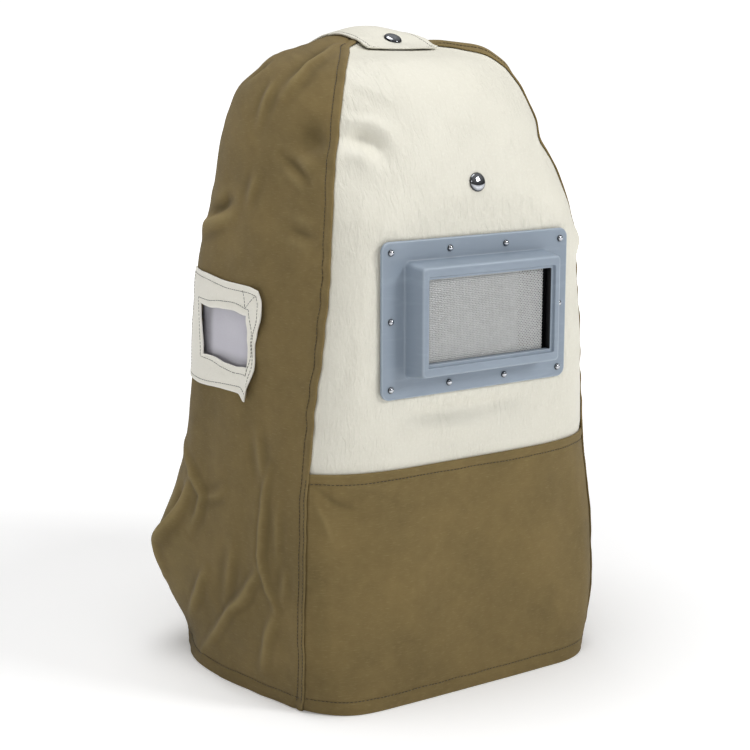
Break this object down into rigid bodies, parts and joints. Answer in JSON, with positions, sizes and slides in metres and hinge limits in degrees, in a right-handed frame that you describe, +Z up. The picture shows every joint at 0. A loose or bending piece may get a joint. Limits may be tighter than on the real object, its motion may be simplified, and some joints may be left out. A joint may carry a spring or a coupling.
{
  "type": "sandblasting hood",
  "caption": "Tall canvas sandblasting hood that stands on its hem, with a leather face, a raised framed window under wire mesh, side windows and a leather crown strap.",
  "frame": {"origin": "middle of the footprint's bounding box, on the ground that the hem stands on", "axes": "+Z up, the window faces -Y, the wearer's left is +X"},
  "size_m": [0.369, 0.314, 0.5683],
  "materials": {
    "canvas": "khaki cotton canvas, plain weave, matt",
    "leather": "cream grain leather, slight sheen",
    "patch_leather": "cream split leather, softer and duller",
    "frame_plastic": "blue-grey moulded plastic, satin",
    "steel": "polished nickel plate",
    "wire_mesh": "woven fine wire",
    "glass": "clear",
    "film": "translucent grey plastic film"
  },
  "bodies": {
    "root": {"side_panel_right": "canvas", "side_panel_left": "canvas", "front_skirt": "canvas", "front_panel": "leather", "crown_strap": "leather", "crown_rivet": "steel", "forehead_rivet": "steel", "window_frame": "frame_plastic", "window_mesh": "wire_mesh", "window_glass": "glass", "frame_rivet_1": "steel", "frame_rivet_2": "steel", "frame_rivet_3": "steel", "frame_rivet_4": "steel", "frame_rivet_5": "steel", "frame_rivet_6": "steel", "frame_rivet_7": "steel", "frame_rivet_8": "steel", "frame_rivet_9": "steel", "frame_rivet_10": "steel", "side_patch_right": "patch_leather", "side_patch_left": "patch_leather", "side_film_right": "film", "side_film_left": "film"}
  },
  "joints": []
}
